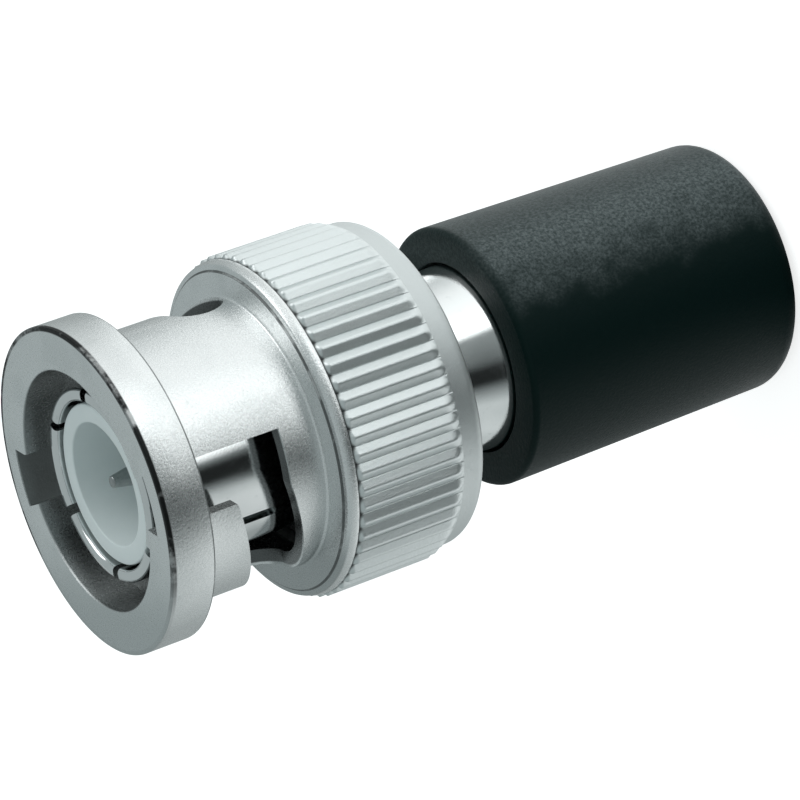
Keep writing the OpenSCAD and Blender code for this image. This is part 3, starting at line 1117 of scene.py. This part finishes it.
def pale_floor():
    """White paper that shows the graded cards to reflected rays."""
    material, place = start("pale_paper")
    tree = material.node_tree
    paper = tree.nodes["Principled BSDF"]
    path = tree.nodes.new("ShaderNodeLightPath")
    seen = Wire(tree, path.outputs["Is Camera Ray"])
    through = Wire(tree, path.outputs["Is Transmission Ray"])
    mirrored = Wire(tree, path.outputs["Is Glossy Ray"])
    paint(material, Base_Color=paper_colour, Roughness=0.9)
    paint(material, Emission_Color=white, Emission_Strength=(seen + through) * paper_glow)
    across = place.axis(0)
    along = place.axis(1)
    turn = across.maths("ARCTAN2", along, across) * (0.5 / math.pi) + 0.5
    distance = (across * across + along * along) ** 0.5 * (1 / MM)

    def graded(levels):
        """The level of a card, which is a ramp over the turn round the plug."""
        stops = [(angle / 360.0 + 0.5, level / card_top) for angle, level in levels]
        ramp = turn.node("ShaderNodeValToRGB", {"stops": stops}, {0: turn})
        return ramp.node("ShaderNodeRGBToBW", {}, {0: ramp}) * card_top

    level = graded(card_band)
    for levels, start_at, full_at in card_rings:
        share = distance.between(start_at, full_at)
        level = level * (1.0 - share) + graded(levels) * share
    tint = level.blend(card_dim, card_bright)
    card = place.node("ShaderNodeEmission", {}, {"Color": tint, "Strength": level})
    surface = tree.nodes.new("ShaderNodeMixShader")
    tree.links.new(mirrored.socket, surface.inputs[0])
    tree.links.new(paper.outputs[0], surface.inputs[1])
    tree.links.new(card.socket, surface.inputs[2])
    tree.links.new(surface.outputs[0], tree.nodes["Material Output"].inputs["Surface"])
    return material


paper_finish = pale_floor()
print("paper made")

# %% [markdown]
# The floor is one large disc of that paper, under the end of the cap that the plug stands on.

# %% Lay the floor
floor_radius = 1500.0
floor_sides = 96
floor_mesh = bpy.data.meshes.new("floor")
floor_work = bmesh.new()
bmesh.ops.create_circle(floor_work, cap_ends=True, segments=floor_sides, radius=floor_radius * MM)
floor_work.to_mesh(floor_mesh)
floor_work.free()
floor = bpy.data.objects.new("floor", floor_mesh)
floor_mesh.materials.append(paper_finish)
bpy.context.scene.collection.objects.link(floor)
print("floor laid,", 2 * floor_radius, "mm across")

# %% [markdown]
# One large soft panel is the key. It stands low on the side that is the top of the
# picture.

# %% Set up the key light
def panel(name, turn, rise, distance, size, watts):
    """A square soft light that faces the plug from the given turn and rise, in degrees."""
    lamp = bpy.data.lights.new(name, "AREA")
    lamp.shape = "SQUARE"
    lamp.size = size * MM
    lamp.energy = watts
    made = bpy.data.objects.new(name, lamp)
    way = direction(turn, rise)
    facing = way.to_track_quat("Z", "Y").to_matrix().to_4x4()
    made.matrix_world = Matrix.Translation(aim + way * distance * MM) @ facing
    bpy.context.scene.collection.objects.link(made)


panel("key_panel", turn=95.0, rise=28.0, distance=400.0, size=300.0, watts=0.48)
print("key light set up")

# %% [markdown]
# The room gives an even, dim light from all round, which the mating face mirrors. The
# camera itself sees it as plain white.

# %% Light the room
room_level = 0.46
room_tint = (0.88, 0.99, 1.0, 1.0)
world = bpy.data.worlds.new("studio_room")
bpy.context.scene.world = world
world.use_nodes = True
room = world.node_tree.nodes["Background"]
room_path = world.node_tree.nodes.new("ShaderNodeLightPath")
room_seen = Wire(world.node_tree, room_path.outputs["Is Camera Ray"])
room_strength = room_seen * (1.0 - room_level) + room_level
room_colour = room_seen.blend(room_tint, white)
world.node_tree.links.new(room_colour.socket, room.inputs["Color"])
world.node_tree.links.new(room_strength.socket, room.inputs["Strength"])
print("room lit, level", room_level)

# %% Close the scene
bpy.context.scene.view_settings.view_transform = "Standard"
